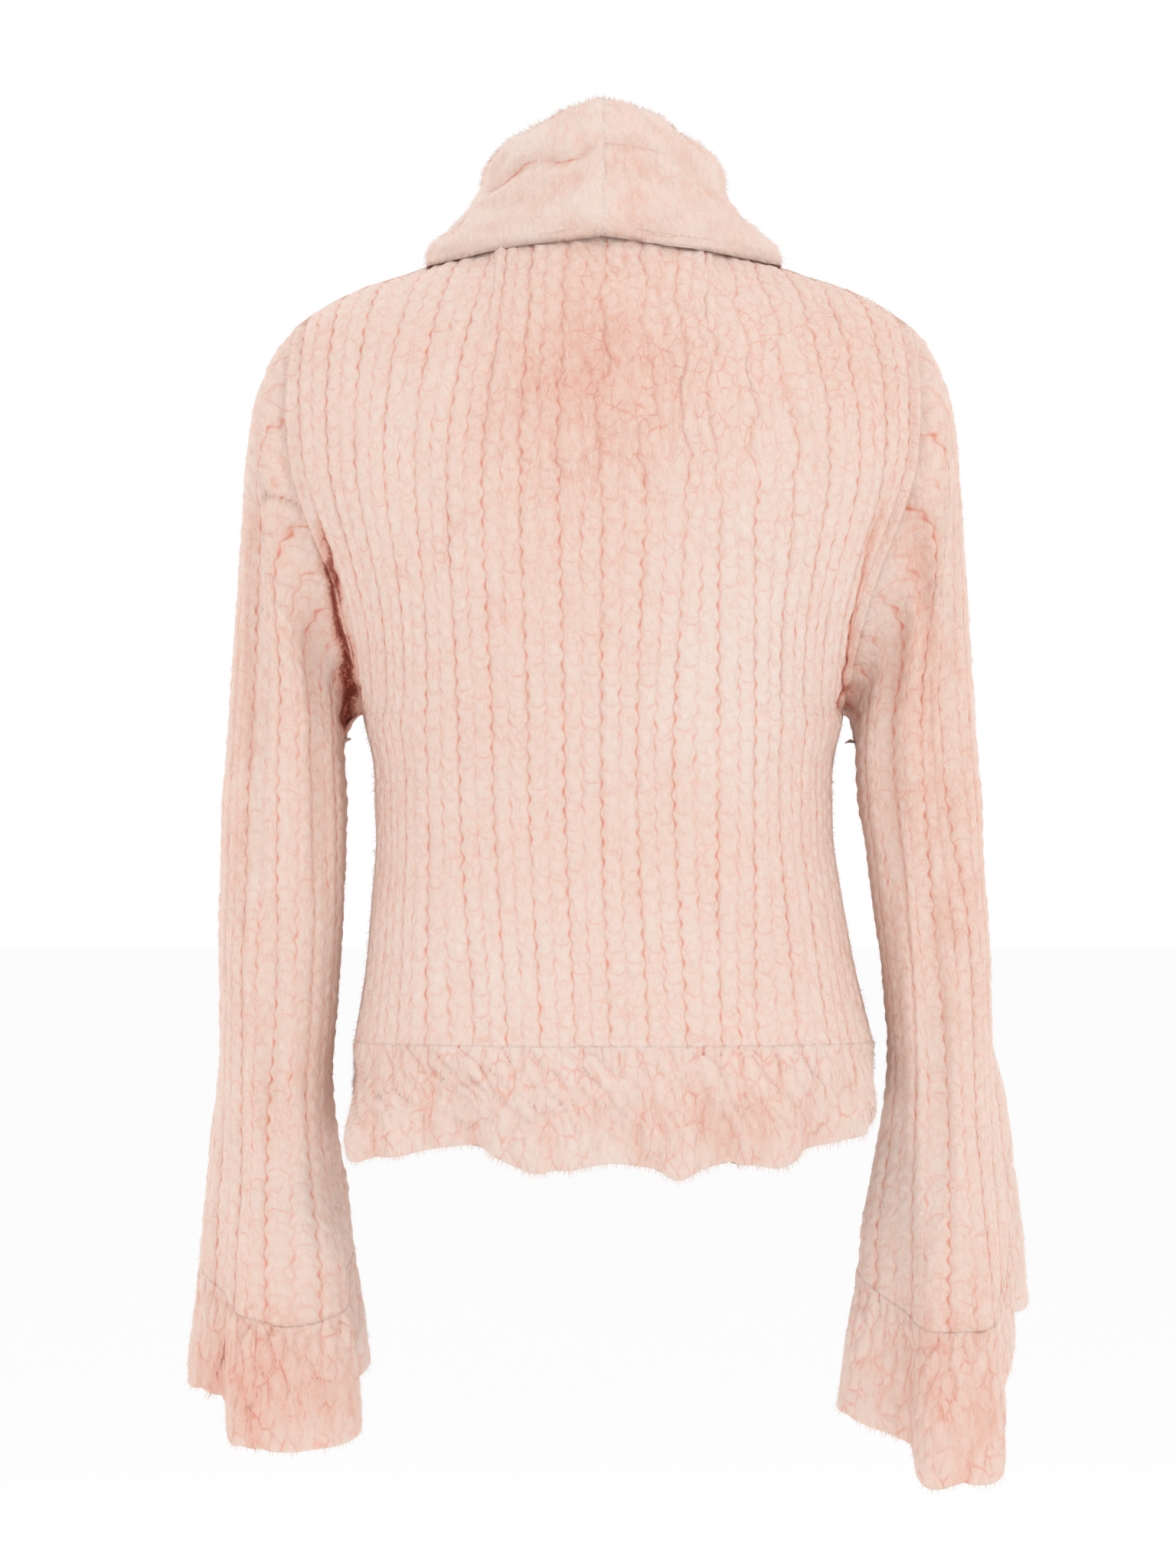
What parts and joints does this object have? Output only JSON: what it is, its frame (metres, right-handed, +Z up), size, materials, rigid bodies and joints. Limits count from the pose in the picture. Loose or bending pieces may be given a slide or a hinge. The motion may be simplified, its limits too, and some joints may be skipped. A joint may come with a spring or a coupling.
{
  "type": "knitted fur jacket",
  "caption": "Hollow worn jacket of knitted fur: open-front body, tall plush turned-down collar, bell sleeves with gathered plush cuffs, and a gathered plush hem.",
  "frame": {"origin": "between the shoulders and level with them, where the wearer's shoulders carry the jacket", "axes": "+Z up, -Y the wearer's front, +X the wearer's left"},
  "size_m": [0.5807, 0.2978, 0.9327],
  "materials": {
    "knitted_fur": "cream-pink fur in knitted stitches with salmon grooves",
    "plush_fur": "longer soft cream-pink fur"
  },
  "bodies": {
    "root": {"back": "knitted_fur", "front_left": "knitted_fur", "front_right": "knitted_fur", "sleeve_left": "knitted_fur", "sleeve_right": "knitted_fur", "hem_back": "plush_fur", "hem_front_left": "plush_fur", "hem_front_right": "plush_fur", "cuff_left": "plush_fur", "cuff_right": "plush_fur", "collar_left": "plush_fur", "collar_right": "plush_fur"}
  },
  "joints": []
}
